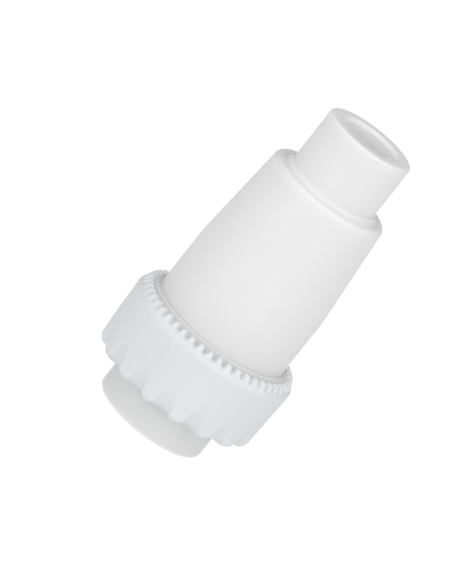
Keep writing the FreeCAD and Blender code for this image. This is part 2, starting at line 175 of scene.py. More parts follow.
class CartridgeSizes(bpy.types.PropertyGroup):
    """The silencing cartridge, from its carrier up to its domed nut."""
    core_wall: length("Core wall", "Wall of the perforated support tube", 0.8)
    spigot_wall: length("Spigot wall", "Wall of the carrier's spigot", 0.9)
    hub_radius: length("Hub radius", "Hub that holds the rod", 3.6)
    spoke_width: length("Spoke width", "Width of a spoke", 1.6)
    spoke_height: length("Spoke height", "Height of a spoke", 3.0)
    spokes: bpy.props.IntProperty(name="Spokes", description="Spokes of the hub", default=4, min=1)
    fins: bpy.props.IntProperty(name="Fins", description="Centring fins of the cap", default=4, min=1)
    fin_start: length("Fin start", "Radius at which a fin starts", 4.9)
    washer_thickness: length("Washer thickness", "Thickness of a washer", 0.6)
    nut_flats: length("Nut flats", "Across the flats of the rod's nuts", 7.0)
    rod_pitch: length("Rod pitch", "Pitch of the rod's thread", 0.7)
    rod_thread: length("Rod thread", "Depth of the rod's thread", 0.3)
    dome: length("Dome", "Height of the cap nut's dome", 1.6)
    grain: length("Grain", "Roughness of the sintered surface", 0.06)


class LiningSizes(bpy.types.PropertyGroup):
    """The felt lining and the outlet's woven screen."""
    nap: length("Nap", "Unevenness of the felt", 0.12)
    snap_width: length("Snap ring width", "Radial width of a snap ring", 2.0)
    snap_opening: bpy.props.FloatProperty(name="Snap ring opening", description="Its missing part",
                                          default=math.radians(36), subtype="ANGLE")
    wire: length("Wire", "Diameter of the screen's wire", 0.36)
    wire_pitch: length("Wire pitch", "Distance between the screen's wires", 1.25)
    screen_rim: length("Screen rim", "Width of the screen's pressed rim", 1.6)


class HousingSizes(bpy.types.PropertyGroup):
    """The tapered housing and its outlet neck."""
    body_radius: length("Body radius", "Outside of the straight part", 24.6)
    body_wall: length("Body wall", "Wall of the straight part", 4.2)
    thread_root: length("Thread root", "Radius under the thread's ridge", 24.7)
    straight: length("Straight length", "Sealing face to the start of the taper", 39.3)
    body_length: length("Body length", "Sealing face to the shoulder", 75.9)
    taper: bpy.props.FloatProperty(name="Taper", description="Slope of the tapered part",
                                   default=math.radians(5), subtype="ANGLE")
    shoulder_round: length("Shoulder round", "Round between taper and shoulder", 3.7)
    collar_width: length("Neck step", "Width of the small step round the neck", 1.5)
    collar_height: length("Neck step height", "Height of the small step", 1.5)
    outlet_radius: length("Outlet radius", "Inside of the neck", 10.0)
    land_top: length("Land top", "Top of the plain ring above the thread", 40.1)
    land_height: length("Land height", "Height of the plain ring", 3.3)


class NutSizes(bpy.types.PropertyGroup):
    """The union nut with its grip lobes and its crown of teeth."""
    draft: length("Draft", "How much narrower the foot is than the widest ring", 0.9)
    height: length("Height", "Lower end to the widest ring", 22.8)
    crown_inset: length("Crown inset", "Widest ring to the tips of the teeth", 1.9)
    tooth_height: length("Tooth height", "Height of a crown tooth", 2.1)
    floor: length("Floor", "Thickness of the nut's lower wall", 3.6)
    thread_root: length("Thread root", "Inside radius behind the thread's ridge", 26.7)
    crown_bore: length("Crown bore", "Inside radius of the crown", 27.1)
    flute_depth: length("Flute depth", "Depth of a flute at the nut's foot", 2.3)
    flute_foot: length("Flute foot", "Width of a flute's floor at the foot", 5.2)
    waist_depth: length("Waist depth", "Depth of a flute where it turns shallow", 0.6)
    waist_width: length("Waist width", "Width of its floor there", 3.7)
    waist_height: length("Waist height", "Lower end to the place where it turns shallow", 9.2)
    head_depth: length("Head depth", "Depth of a flute at its head", 0.15)
    head_width: length("Head width", "Width of its floor at its head", 3.5)
    flute_height: length("Flute height", "Lower end to the head of a flute", 20.4)
    flare: bpy.props.FloatProperty(name="Flare", description="Widening of a flute per radius",
                                   default=0.4, min=0.1)
    soft_flare: bpy.props.FloatProperty(name="Soft flare", description="The same above the waist",
                                        default=1.2, min=0.1)
    bevel_height: length("Bevel height", "Height of the bevel below a flute", 2.1)
    bevel_width: length("Bevel width", "Radial width of that bevel", 3.2)
    lobes: bpy.props.IntProperty(name="Lobes", description="Grip lobes", default=16, min=3)
    teeth: bpy.props.IntProperty(name="Teeth", description="Crown teeth", default=48, min=3)
    turn: bpy.props.FloatProperty(name="Grip turn", description="First lobe, from the front",
                                  default=math.radians(-10), subtype="ANGLE")


class ThreadSizes(bpy.types.PropertyGroup):
    """The right-hand trapezoidal thread between the housing and the nut."""
    pitch: length("Pitch", "Rise of the thread in one turn", 3.0)
    housing_crest: length("Housing crest", "Outer radius of the housing's ridge", 26.3)
    nut_crest: length("Nut crest", "Inner radius of the nut's ridge", 25.1)


class FinishColours(bpy.types.PropertyGroup):
    """The colours of the materials."""
    housing: colour("Housing", "Natural polypropylene of the housing", "#EBEBED")
    # painted shade: grey for the housing's foot next to the nut, where the crown shades it
    housing_foot_shade: colour("Housing foot", "Housing where the lining shows through", "#E3E3E4")
    # painted shade: grey for the land, shaded in its gap under the nut's crown
    land: colour("Land", "Plain ring above the housing's thread", "#D6D6D7")
    nut: colour("Nut", "Natural polypropylene of the nut", "#E3E4E7")
    tail: colour("Tail", "Natural polypropylene of the tail", "#E0E1E1")
    slip_ring: colour("Slip ring", "PTFE of the slip ring", "#F3F3EF")
    carrier: colour("Carrier", "Polyamide of the cartridge's end pieces", "#DAD8CF")
    element: colour("Element", "Sintered polyethylene of the element", "#EAE7DC")
    felt: colour("Felt", "Polyester felt of the lining", "#CFCBBF")
    rubber: colour("Rubber", "EPDM of the seals", "#1B1B1C")
    steel: colour("Stainless steel", "Tubes, screen and rod", "#C9C8C5")
    spring: colour("Spring steel", "Snap rings", "#77777A")
    floor: colour("Floor", "The pale floor", "#FEFEFE")


class ViewSizes(bpy.types.PropertyGroup):
    """The camera's place and lens."""
    distance: length("Distance", "Camera to the object's middle", 1853)
    elevation: bpy.props.FloatProperty(name="Elevation", description="Above the horizon",
                                       default=math.radians(15.98), subtype="ANGLE")
    roll: bpy.props.FloatProperty(name="Roll", description="Lean of the object in the view",
                                  default=math.radians(38.4), subtype="ANGLE")
    lens: bpy.props.FloatProperty(name="Lens", description="Focal length in millimetres",
                                  default=352.7, min=1)
    aim_height: length("Aim height", "Height of the point that the distance is from", 59.2)
    aim_right: length("Aim right", "View centre, across the bore", -6.12)
    aim_up: length("Aim up", "View centre, along the bore", -8.97)


# ---- meshes ---------------------------------------------------------------------

def grid_faces(rows, columns, wrap_rows, wrap_columns):
    """Quads between neighbouring rows and columns, wrapping round where asked."""
    row = np.arange(rows if wrap_rows else rows - 1)[:, None]
    column = np.arange(columns if wrap_columns else columns - 1)[None, :]
    next_row = (row + 1) % rows
    next_column = (column + 1) % columns
    corners = (row * columns + column, row * columns + next_column,
               next_row * columns + next_column, next_row * columns + column)
    return np.stack(np.broadcast_arrays(*corners), axis=-1).reshape(-1, 4)


def mesh_piece(name, points, faces, sharp_angle=None):
    """A mesh object at the origin from an array of points and an array of faces."""
    mesh = bpy.data.meshes.new(name)
    mesh.from_pydata(points.reshape(-1, 3), [], faces.tolist())
    mesh.polygons.foreach_set("use_smooth", np.ones(len(mesh.polygons), bool))
    if sharp_angle is not None:
        mesh.set_sharp_from_angle(angle=math.radians(sharp_angle))
    mesh.update()
    piece = bpy.data.objects.new(name, mesh)
    bpy.context.scene.collection.objects.link(piece)
    return piece


def rounded_loop(corners, step=0.9 * MM):
    """Points of a closed section of (radius, height, round) corners.

    Each corner becomes an arc tangent to its two sides, and each side is divided evenly.
    """
    count = len(corners)
    arcs = []
    for index, (radius, height, size) in enumerate(corners):
        here = np.array((radius, height))
        before = np.array(corners[index - 1][:2]) - here
        after = np.array(corners[(index + 1) % count][:2]) - here
        before_length, after_length = np.linalg.norm(before), np.linalg.norm(after)
        before, after = before / before_length, after / after_length
        opening = math.acos(np.clip(before @ after, -1, 1))
        cut = min(size / math.tan(opening / 2), 0.48 * before_length, 0.48 * after_length)
        steps = max(3, int((math.pi - opening) * size / (0.25 * MM)) + 1)
        share = np.linspace(0, 1, steps + 1)[:, None]
        turned = opening_arc(before * cut, after * cut, share)
        arcs.append(here + turned)
    pieces = []
    for index, arc in enumerate(arcs):
        end = arcs[(index + 1) % count][0]
        gap = np.linalg.norm(end - arc[-1])
        inner = np.linspace(0, 1, max(1, math.ceil(gap / step)) + 1)[1:-1, None]
        pieces += [arc, arc[-1] + (end - arc[-1]) * inner]
    return np.concatenate(pieces)


def opening_arc(start, end, share):
    """The arc from start to end that leaves both along the lines from the corner at 0.

    Its centre is on the corner's bisector, so start and end are turned about it evenly.
    """
    middle = (start + end) / 2
    reach = start @ start / (middle @ middle)
    centre = middle * reach
    first, last = start - centre, end - centre
    angle = math.acos(np.clip(first @ last / (np.linalg.norm(first) * np.linalg.norm(last)), -1, 1))
    if angle < 1e-6:
        return start + (end - start) * share
    turned = np.sin((1 - share) * angle) * first + np.sin(share * angle) * last
    return centre + turned / np.sin(angle)


def turned_points(radius, height, columns):
    """Radius and height, each per row and column, carried round the bore."""
    angle = np.arange(columns) * TURN / columns
    radius, height, angle = np.broadcast_arrays(radius, height, angle[None, :])
    return np.stack((radius * np.cos(angle), radius * np.sin(angle), height), axis=-1)


def turned_ring(name, corners, columns=AROUND, step=0.9 * MM, sharp_angle=None):
    """A closed ring: a rounded section, listed counter-clockwise, turned about the bore."""
    loop = rounded_loop(corners, step)
    points = turned_points(loop[:, :1], loop[:, 1:], columns)
    faces = grid_faces(len(loop), columns, True, True)[:, ::-1]
    return mesh_piece(name, points, faces, sharp_angle)


def plain_ring(name, inner, outer, bottom, top, edge):
    corners = [(inner, bottom, edge), (outer, bottom, edge), (outer, top, edge), (inner, top, edge)]
    return turned_ring(name, corners)


def thread_ridge(name, root, crest, pitch, first, last, foot=0.25, tip=0.12, per_turn=128):
    """A rounded trapezoid carried along a right-hand helix, shrinking to nothing at both ends.

    At a turn t the ridge's middle is at height first + pitch t and angle 2 pi t.  The
    section's points are (share of the radial height, share of the pitch from its middle).
    """
    section = np.array([(-0.25, -foot), (0.15, -foot * 0.88), (0.85, -tip * 1.25), (1.0, -tip * 0.7),
                        (1.0, tip * 0.7), (0.85, tip * 1.25), (0.15, foot * 0.88), (-0.25, foot)])
    turns = (last - first) / pitch
    rows = int(turns * per_turn)
    along = np.linspace(0, turns, rows)[:, None]
    fade = np.clip(np.minimum(along, turns - along) * 12 + 0.02, 0.02, 1)
    radius = root + (crest - root) * (section[:, 0] * fade - 0.25 * (1 - fade))
    height = first + pitch * (along + section[:, 1] * (0.3 + 0.7 * fade))
    points = np.stack((radius * np.cos(TURN * along), radius * np.sin(TURN * along), height), axis=-1)
    faces = grid_faces(rows, len(section), False, True)
    if crest < root:
        faces = faces[:, ::-1]
    piece = mesh_piece(name, points, faces)
    close_ends(piece, rows, len(section))
    return piece


def close_ends(piece, rows, columns):
    """Cap the first and the last row of a tube whose rows are closed."""
    cage = bmesh.new()
    cage.from_mesh(piece.data)
    cage.verts.ensure_lookup_table()
    cage.faces.new([cage.verts[i] for i in range(columns)])
    cage.faces.new([cage.verts[(rows - 1) * columns + i] for i in range(columns)])
    bmesh.ops.recalc_face_normals(cage, faces=cage.faces)
    cage.to_mesh(piece.data)
    cage.free()


def capped_tube(name, points, sharp_angle=35):
    """A solid through closed sections, with a flat face on the first and on the last."""
    rows, columns = points.shape[:2]
    piece = mesh_piece(name, points, grid_faces(rows, columns, False, True))
    close_ends(piece, rows, columns)
    piece.data.set_sharp_from_angle(angle=math.radians(sharp_angle))
    return piece


def joined(name, pieces):
    """One object from several that don't touch or that sink into each other."""
    points, faces, count = [], [], 0
    for piece in pieces:
        mesh = piece.data
        points += [tuple(vertex.co) for vertex in mesh.vertices]
        faces += [[index + count for index in polygon.vertices] for polygon in mesh.polygons]
        count = len(points)
        bpy.data.objects.remove(piece)
        bpy.data.meshes.remove(mesh)
    mesh = bpy.data.meshes.new(name)
    mesh.from_pydata(points, [], faces)
    mesh.polygons.foreach_set("use_smooth", np.ones(len(faces), bool))
    mesh.set_sharp_from_angle(angle=math.radians(35))
    whole = bpy.data.objects.new(name, mesh)
    bpy.context.scene.collection.objects.link(whole)
    return whole


def rounded_rectangle(wide, high, edge):
    """Section points of a rectangle about its middle, as (across, up)."""
    half_wide, half_high = wide / 2, high / 2
    return rounded_loop([(-half_wide, -half_high, edge), (half_wide, -half_high, edge),
                         (half_wide, half_high, edge), (-half_wide, half_high, edge)], step=2 * MM)


def radial_bar(start, end, wide, bottom, top, angle, edge=0.25 * MM):
    """A rounded bar along a radius, at an angle about the bore."""
    section = rounded_rectangle(wide, top - bottom, edge)
    along = np.array((start, end))[:, None]
    across, up = section[None, :, 0], section[None, :, 1] + (bottom + top) / 2
    cosine, sine = math.cos(angle), math.sin(angle)
    points = np.stack(np.broadcast_arrays(along * cosine - across * sine,
                                          along * sine + across * cosine, up), axis=-1)
    return capped_tube("bar", points)


def open_ring(name, inner, outer, bottom, top, start, end, edge=0.12 * MM, rows=160):
    """A flat ring with an opening: a rounded section carried from one angle to another."""
    section = rounded_rectangle(outer - inner, top - bottom, edge)
    angle = np.linspace(start, end, rows)[:, None]
    radius = section[None, :, 0] + (inner + outer) / 2
    height = section[None, :, 1] + (bottom + top) / 2
    points = np.stack(np.broadcast_arrays(radius * np.cos(angle), radius * np.sin(angle), height),
                      axis=-1)
    return capped_tube(name, points)


def hexagon_radius(flats, columns):
    """Radius of a hexagon at each of evenly spaced angles: (flats / 2) / cos of the angle
    from the middle of the nearest flat."""
    angle = np.arange(columns) * TURN / columns
    return flats / 2 / np.cos((angle % (TURN / 6)) - TURN / 12)


def grain(rows, columns, size, seed):
    """Even random waves of about 1 / size of the grid, periodic both ways, mostly within 1."""
    field = np.random.default_rng(seed).standard_normal((rows, columns))
    frequency = np.hypot(np.fft.fftfreq(rows)[:, None], np.fft.fftfreq(columns)[None, :])
    waves = np.real(np.fft.ifft2(np.fft.fft2(field) * np.exp(-(frequency / size) ** 2)))
    return np.clip(waves / (2 * waves.std()), -1, 1)


def rough_ring(name, corners, depth, size, seed, columns=320):
    """A turned ring whose surface is sunk by grain, towards its section's middle, by up to
    a depth."""
    loop = rounded_loop(corners, step=0.45 * MM)
    middle = (loop.min(axis=0) + loop.max(axis=0)) / 2
    inward = middle[0] - loop[:, 0]
    inward = np.clip(inward / np.abs(inward).max() * 3, -1, 1)[:, None]
    sunk = depth * (0.5 + 0.5 * grain(len(loop), columns, size, seed))
    points = turned_points(loop[:, :1] + inward * sunk, loop[:, 1:], columns)
    return mesh_piece(name, points, grid_faces(len(loop), columns, True, True)[:, ::-1])


def soft_min(first, second, size):
    """The smaller of two, with the corner between them rounded over a size."""
    overlap = np.clip(size - np.abs(first - second), 0, None) / size
    return np.minimum(first, second) - overlap ** 2 * size / 4


def soft_rise(value, size):
    """Nothing far below 0 and the value far above it, with the corner rounded over a size."""
    return (value + np.sqrt(value ** 2 + size ** 2)) / 2


def smooth_step(share):
    share = np.clip(share, 0, 1)
    return share * share * (3 - 2 * share)


# ---- materials ------------------------------------------------------------------

def add_node(tree, kind, inputs=None, **settings):
    """A node with its settings, its input values and its links from other sockets."""
    node = tree.nodes.new(kind)
    for key, value in settings.items():
        setattr(node, key, value)
    for socket, value in (inputs or {}).items():
        if isinstance(value, bpy.types.NodeSocket):
            tree.links.new(value, node.inputs[socket])
        else:
            node.inputs[socket].default_value = value
    return node


def new_material(name):
    material = bpy.data.materials.new(name)
    material.use_nodes = True
    material.node_tree.nodes.clear()
    return material, material.node_tree


def finish_material(tree, inputs):
    shader = add_node(tree, "ShaderNodeBsdfPrincipled", inputs)
    add_node(tree, "ShaderNodeOutputMaterial", {"Surface": shader.outputs[0]})


def rgba(value, factor=1.0):
    return tuple(min(1.0, part * factor) for part in value) + (1.0,)


def radial_fade(tree, radius, start, band, first, last):
    """A value that goes evenly from first to last over a band outside a radius."""
    return add_node(tree, "ShaderNodeMapRange", {"Value": radius.outputs["Value"],
                    1: start + band[0], 2: start + band[1], 3: first, 4: last})


def moulded_polypropylene(name, tint, shade_foot=False, roughness=0.42, glow=0.6):
    """Natural polypropylene, injection moulded: milky, with faint flow clouds and a satin skin.

    Hollows get painted light, an emission by how little open sky they see, so they glow a little
    instead of going dark, and most in the neck's bore, which also gets faint painted light all over.
    With shade_foot it gets painted shade: grey by the square of the way down to the nut, and at its
    land.
    """
    material, tree = new_material(name)
    place = add_node(tree, "ShaderNodeTexCoord").outputs["Object"]
    stretched = add_node(tree, "ShaderNodeMapping", {"Vector": place, "Scale": (1, 1, 0.35)})
    clouds = add_node(tree, "ShaderNodeTexNoise", {"Vector": stretched.outputs[0],
                      "Scale": 1 / (16 * MM), "Detail": 3.0, "Roughness": 0.5})
    blend = add_node(tree, "ShaderNodeMix", {0: clouds.outputs[0], 6: rgba(tint, 0.955),
                     7: rgba(tint, 1.03)}, data_type="RGBA")
    skin = add_node(tree, "ShaderNodeTexNoise", {"Vector": place, "Scale": 1 / (0.9 * MM),
                    "Detail": 4.0, "Roughness": 0.6})
    gloss = add_node(tree, "ShaderNodeMapRange", {"Value": skin.outputs[0], 1: 0.3, 2: 0.7,
                     3: roughness - 0.05, 4: roughness + 0.06})
    bump = add_node(tree, "ShaderNodeBump", {"Strength": 0.25, "Distance": 0.03 * MM,
                    "Height": skin.outputs[0]})
    flat = add_node(tree, "ShaderNodeVectorMath", {0: place, 1: (1, 1, 0)}, operation="MULTIPLY")
    radius = add_node(tree, "ShaderNodeVectorMath", {0: flat.outputs[0]}, operation="LENGTH")
    # painted shade: the housing greys towards its foot and at its land
    if shade_foot:
        blend = painted_foot_shade(tree, place, radius, blend)
    # painted light: an emission where open sky is scarce, strongest in the neck's bore
    hollow = add_node(tree, "ShaderNodeAmbientOcclusion", {"Distance": HOLLOW_REACH})
    bore = bpy.context.scene.muffler_housing.outlet_radius
    lit = radial_fade(tree, radius, bore, BORE_GLOW_FADE, BORE_GLOW, HOLLOW_GLOW)
    # painted light: a faint emission all over the neck's bore, by radius
    through = radial_fade(tree, radius, bore, BORE_LIGHT_FADE, BORE_LIGHT, 0.0)
    painted_glow = add_node(tree, "ShaderNodeMapRange", {"Value": hollow.outputs["AO"], 1: 0.0,
                       2: HOLLOW_OPEN, 3: lit.outputs[0], 4: through.outputs[0]})
    finish_material(tree, {
        "Base Color": blend.outputs[2], "Roughness": gloss.outputs[0], "IOR": 1.49,
        "Emission Color": rgba(tint), "Emission Strength": painted_glow.outputs[0],
        "Subsurface Weight": glow, "Subsurface Radius": (1.0, 0.98, 0.95),
        "Subsurface Scale": 3.2 * MM, "Normal": bump.outputs[0]})
    return material


def painted_foot_shade(tree, place, radius, blend):
    """Mix in painted shade: the foot's grey by the square of the share of the way down to the land's
    top, and the land's grey by the radius."""
    colours = bpy.context.scene.muffler_colours
    sizes = bpy.context.scene.muffler_housing
    height = add_node(tree, "ShaderNodeSeparateXYZ", {0: place}).outputs["Z"]
    down = add_node(tree, "ShaderNodeMapRange", {"Value": height, 1: sizes.land_top,
                    2: sizes.land_top + FOOT_SHADE_REACH, 3: 1.0, 4: 0.0})
    share = add_node(tree, "ShaderNodeMath", {0: down.outputs[0], 1: 2.0}, operation="POWER")
    foot = add_node(tree, "ShaderNodeMix", {0: share.outputs[0], 6: blend.outputs[2],
                    7: rgba(colours.housing_foot_shade)}, data_type="RGBA")
    outer = radial_fade(tree, radius, sizes.body_radius, LAND_SHADE_STEP, 0.0, 1.0)
    return add_node(tree, "ShaderNodeMix", {0: outer.outputs[0], 6: foot.outputs[2],
                    7: rgba(colours.land)}, data_type="RGBA")


def foot_shade_polypropylene(name, tint):
    """The same polypropylene with painted shade: greyer towards its foot and at its land."""
    return moulded_polypropylene(name, tint, shade_foot=True)


def ribbed_polypropylene(name, tint):
    """The same polypropylene with more pigment, so that its ribs shade evenly."""
    return moulded_polypropylene(name, tint, glow=0.3)


def sintered_polyethylene(name, tint):
    """Beads of polyethylene fused to a porous wall: a grainy, dull, chalky surface."""
    material, tree = new_material(name)
    place = add_node(tree, "ShaderNodeTexCoord").outputs["Object"]
    beads = add_node(tree, "ShaderNodeTexVoronoi", {"Vector": place, "Scale": 1 / (0.55 * MM)})
    shade = add_node(tree, "ShaderNodeMix", {0: beads.outputs[0], 6: rgba(tint), 7: rgba(tint, 0.72)},
                     data_type="RGBA")
    bump = add_node(tree, "ShaderNodeBump", {"Strength": 0.9, "Distance": 0.2 * MM,
                    "Height": beads.outputs[0]}, invert=True)
    finish_material(tree, {"Base Color": shade.outputs[2], "Roughness": 0.85, "IOR": 1.5,
                           "Normal": bump.outputs[0]})
    return material


def needled_felt(name, tint):
    """Polyester needled felt: matted fibres, soft and without gloss."""
    material, tree = new_material(name)
    place = add_node(tree, "ShaderNodeTexCoord").outputs["Object"]
    fibres = add_node(tree, "ShaderNodeTexNoise", {"Vector": place, "Scale": 1 / (0.5 * MM),
                      "Detail": 6.0, "Roughness": 0.7, "Distortion": 1.6})
    shade = add_node(tree, "ShaderNodeMix", {0: fibres.outputs[0], 6: rgba(tint, 0.7),
                     7: rgba(tint, 1.15)}, data_type="RGBA")
    bump = add_node(tree, "ShaderNodeBump", {"Strength": 0.8, "Distance": 0.25 * MM,
                    "Height": fibres.outputs[0]})
    finish_material(tree, {"Base Color": shade.outputs[2], "Roughness": 0.95,
                           "Sheen Weight": 0.3, "Normal": bump.outputs[0]})
    return material


def moulded_rubber(name, tint):
    """EPDM, moulded: near black, dull, with a dusty bloom."""
    material, tree = new_material(name)
    place = add_node(tree, "ShaderNodeTexCoord").outputs["Object"]
    bloom = add_node(tree, "ShaderNodeTexNoise", {"Vector": place, "Scale": 1 / (2.5 * MM),
                     "Detail": 5.0})
    shade = add_node(tree, "ShaderNodeMix", {0: bloom.outputs[0], 6: rgba(tint, 0.8),
                     7: rgba(tint, 2.4)}, data_type="RGBA")
    bump = add_node(tree, "ShaderNodeBump", {"Strength": 0.2, "Distance": 0.02 * MM,
                    "Height": bloom.outputs[0]})
    finish_material(tree, {"Base Color": shade.outputs[2], "Roughness": 0.6, "IOR": 1.52,
                           "Normal": bump.outputs[0]})
    return material


def drawn_steel(name, tint, roughness=0.28):
    """Stainless steel, drawn and punched: fine streaks along the bore and a soft mirror."""
    material, tree = new_material(name)
    place = add_node(tree, "ShaderNodeTexCoord").outputs["Object"]
    stretched = add_node(tree, "ShaderNodeMapping", {"Vector": place, "Scale": (1, 1, 0.04)})
    streaks = add_node(tree, "ShaderNodeTexNoise", {"Vector": stretched.outputs[0],
                       "Scale": 1 / (0.35 * MM), "Detail": 4.0})
    shade = add_node(tree, "ShaderNodeMix", {0: streaks.outputs[0], 6: rgba(tint, 0.82),
                     7: rgba(tint, 1.08)}, data_type="RGBA")
    gloss = add_node(tree, "ShaderNodeMapRange", {"Value": streaks.outputs[0], 1: 0.3, 2: 0.7,
                     3: roughness - 0.08, 4: roughness + 0.1})
    bump = add_node(tree, "ShaderNodeBump", {"Strength": 0.15, "Distance": 0.01 * MM,
                    "Height": streaks.outputs[0]})
    finish_material(tree, {"Base Color": shade.outputs[2], "Metallic": 1.0,
                           "Roughness": gloss.outputs[0], "Normal": bump.outputs[0]})
    return material


def moulded_polyamide(name, tint):
    """Glass-filled polyamide, moulded: off-white and dull, with fine fibre marks."""
    material, tree = new_material(name)
    place = add_node(tree, "ShaderNodeTexCoord").outputs["Object"]
    marks = add_node(tree, "ShaderNodeTexNoise", {"Vector": place, "Scale": 1 / (0.7 * MM),
                     "Detail": 5.0, "Distortion": 0.6})
    shade = add_node(tree, "ShaderNodeMix", {0: marks.outputs[0], 6: rgba(tint, 0.93),
                     7: rgba(tint, 1.04)}, data_type="RGBA")
    bump = add_node(tree, "ShaderNodeBump", {"Strength": 0.3, "Distance": 0.03 * MM,
                    "Height": marks.outputs[0]})
    finish_material(tree, {"Base Color": shade.outputs[2], "Roughness": 0.52, "IOR": 1.53,
                           "Normal": bump.outputs[0]})
    return material


def light_table(name, tint):
    """Opal glass lit from below: white to the camera, softer as a light, and without shadows."""
    material, tree = new_material(name)
    place = add_node(tree, "ShaderNodeTexCoord").outputs["Object"]
    haze = add_node(tree, "ShaderNodeTexNoise", {"Vector": place, "Scale": 1 / (40 * MM)})
    shade = add_node(tree, "ShaderNodeMix", {0: haze.outputs[0], 6: rgba(tint, 0.99),
                     7: rgba(tint)}, data_type="RGBA")
    seen = add_node(tree, "ShaderNodeLightPath").outputs["Is Camera Ray"]
    strength = add_node(tree, "ShaderNodeMapRange", {"Value": seen, 3: TABLE_LIGHT,
                        4: TABLE_WHITE})
    finish_material(tree, {"Base Color": (0, 0, 0, 1), "Specular IOR Level": 0.0,
                           "Emission Color": shade.outputs[2],
                           "Emission Strength": strength.outputs[0]})
    return material


MATERIALS = {
    "housing_polymer": (foot_shade_polypropylene, "housing", "moulded polypropylene, housing"),
    "nut_polymer": (ribbed_polypropylene, "nut", "moulded polypropylene, nut"),
    "tail_polymer": (moulded_polypropylene, "tail", "moulded polypropylene, tail"),
    "slip_polymer": (moulded_polypropylene, "slip_ring", "skived PTFE"),
    "carrier_polymer": (moulded_polyamide, "carrier", "moulded glass-filled polyamide"),
    "sintered_polymer": (sintered_polyethylene, "element", "sintered polyethylene"),
    "felt": (needled_felt, "felt", "needled polyester felt"),
    "seal_rubber": (moulded_rubber, "rubber", "moulded EPDM rubber"),
    "stainless": (drawn_steel, "steel", "drawn stainless steel"),
    "spring_steel": (drawn_steel, "spring", "stamped spring steel"),
}


def slot_material(slot):
    """The material of one slot, made once."""
    maker, tint, name = MATERIALS[slot]
    if name not in bpy.data.materials:
        maker(name, getattr(bpy.context.scene.muffler_colours, tint))
    return bpy.data.materials[name]


def node_slot(node):
    parts = frame["record"]["subparts"]
    return next(part["material_slot"] for part in parts if part["node"] == node)


def node_body(node):
    return frame["nodes"][node]["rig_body"]


def fit_piece(piece, node, stands_for=True):
    """Give a new piece the finish and the body of a CAD node, and let it stand for that node."""
    piece.data.materials.append(slot_material(node_slot(node)))
    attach(piece, node_body(node))
    if stands_for:
        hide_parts(node)


# ---- operators ------------------------------------------------------------------

class MUFFLER_OT_stage(bpy.types.Operator):
    """Add the floor, the soft lights and the camera"""
    bl_idname = "muffler.stage"
    bl_label = "Stage"

    def execute(self, context):
        scene = context.scene
        self.add_floor(scene)
        self.add_lights(scene)
        self.add_camera(scene)
        scene.view_settings.view_transform = "Standard"
        return {"FINISHED"}

    def add_floor(self, scene):
        points = FLOOR_HALF * np.array([(-1, -1, 0), (1, -1, 0), (1, 1, 0), (-1, 1, 0)])
        floor = mesh_piece("floor", points, np.array([[0, 1, 2, 3]]))
        floor.data.materials.append(light_table("opal light table", scene.muffler_colours.floor))

    def add_lights(self, scene):
        world = bpy.data.worlds.new("soft tent")
        scene.world = world
        world.use_nodes = True
        world.node_tree.nodes.clear()
        place = add_node(world.node_tree, "ShaderNodeTexCoord").outputs["Generated"]
        lean = add_node(world.node_tree, "ShaderNodeVectorMath",
                        {0: place, 1: TENT_LEAN}, operation="DOT_PRODUCT")
        strength = add_node(world.node_tree, "ShaderNodeMath", {0: lean.outputs["Value"],
                            1: TENT_LEVEL},
                            operation="ADD")
        strength = add_node(world.node_tree, "ShaderNodeMath", {0: strength.outputs[0],
                            1: TENT_DARKEST},
                            operation="MAXIMUM")
        light = add_node(world.node_tree, "ShaderNodeBackground",
                         {"Color": TENT_COLOUR, "Strength": strength.outputs[0]})
        add_node(world.node_tree, "ShaderNodeOutputWorld", {"Surface": light.outputs[0]})
        for name, place, power in STRIPS:
            lamp = bpy.data.lights.new(name, "AREA")
            lamp.shape = "RECTANGLE"
            lamp.size = STRIP_WIDTH
            lamp.size_y = STRIP_HEIGHT
            lamp.color = STRIP_COLOUR
            lamp.energy = power
            stand = bpy.data.objects.new(name, lamp)
            scene.collection.objects.link(stand)
            stand.location = place
            aim = Vector((0, 0, LAMP_AIM)) - stand.location
            stand.rotation_euler = aim.to_track_quat("-Z", "Y").to_euler()

    def add_camera(self, scene):
        view = scene.muffler_view
        back = Vector((0, -math.cos(view.elevation), math.sin(view.elevation)))
        across = Vector((1, 0, 0))
        along = back.cross(across)
        anchor = Vector((0, 0, view.aim_height))
        place = anchor + back * view.distance
        target = anchor + across * view.aim_right + along * view.aim_up
        back = (place - target).normalized()
        across = Vector((0, 0, 1)).cross(back).normalized()
        along = back.cross(across)
        right = across * math.cos(view.roll) + along * math.sin(view.roll)
        up = along * math.cos(view.roll) - across * math.sin(view.roll)
        lens = bpy.data.cameras.new("camera")
        lens.lens = view.lens
        lens.sensor_width = 36.0
        lens.clip_start = 0.05
        camera = bpy.data.objects.new("camera", lens)
        scene.collection.objects.link(camera)
        turned = Matrix((right, up, back)).transposed().to_4x4()
        camera.matrix_world = Matrix.Translation(place) @ turned
        scene.camera = camera


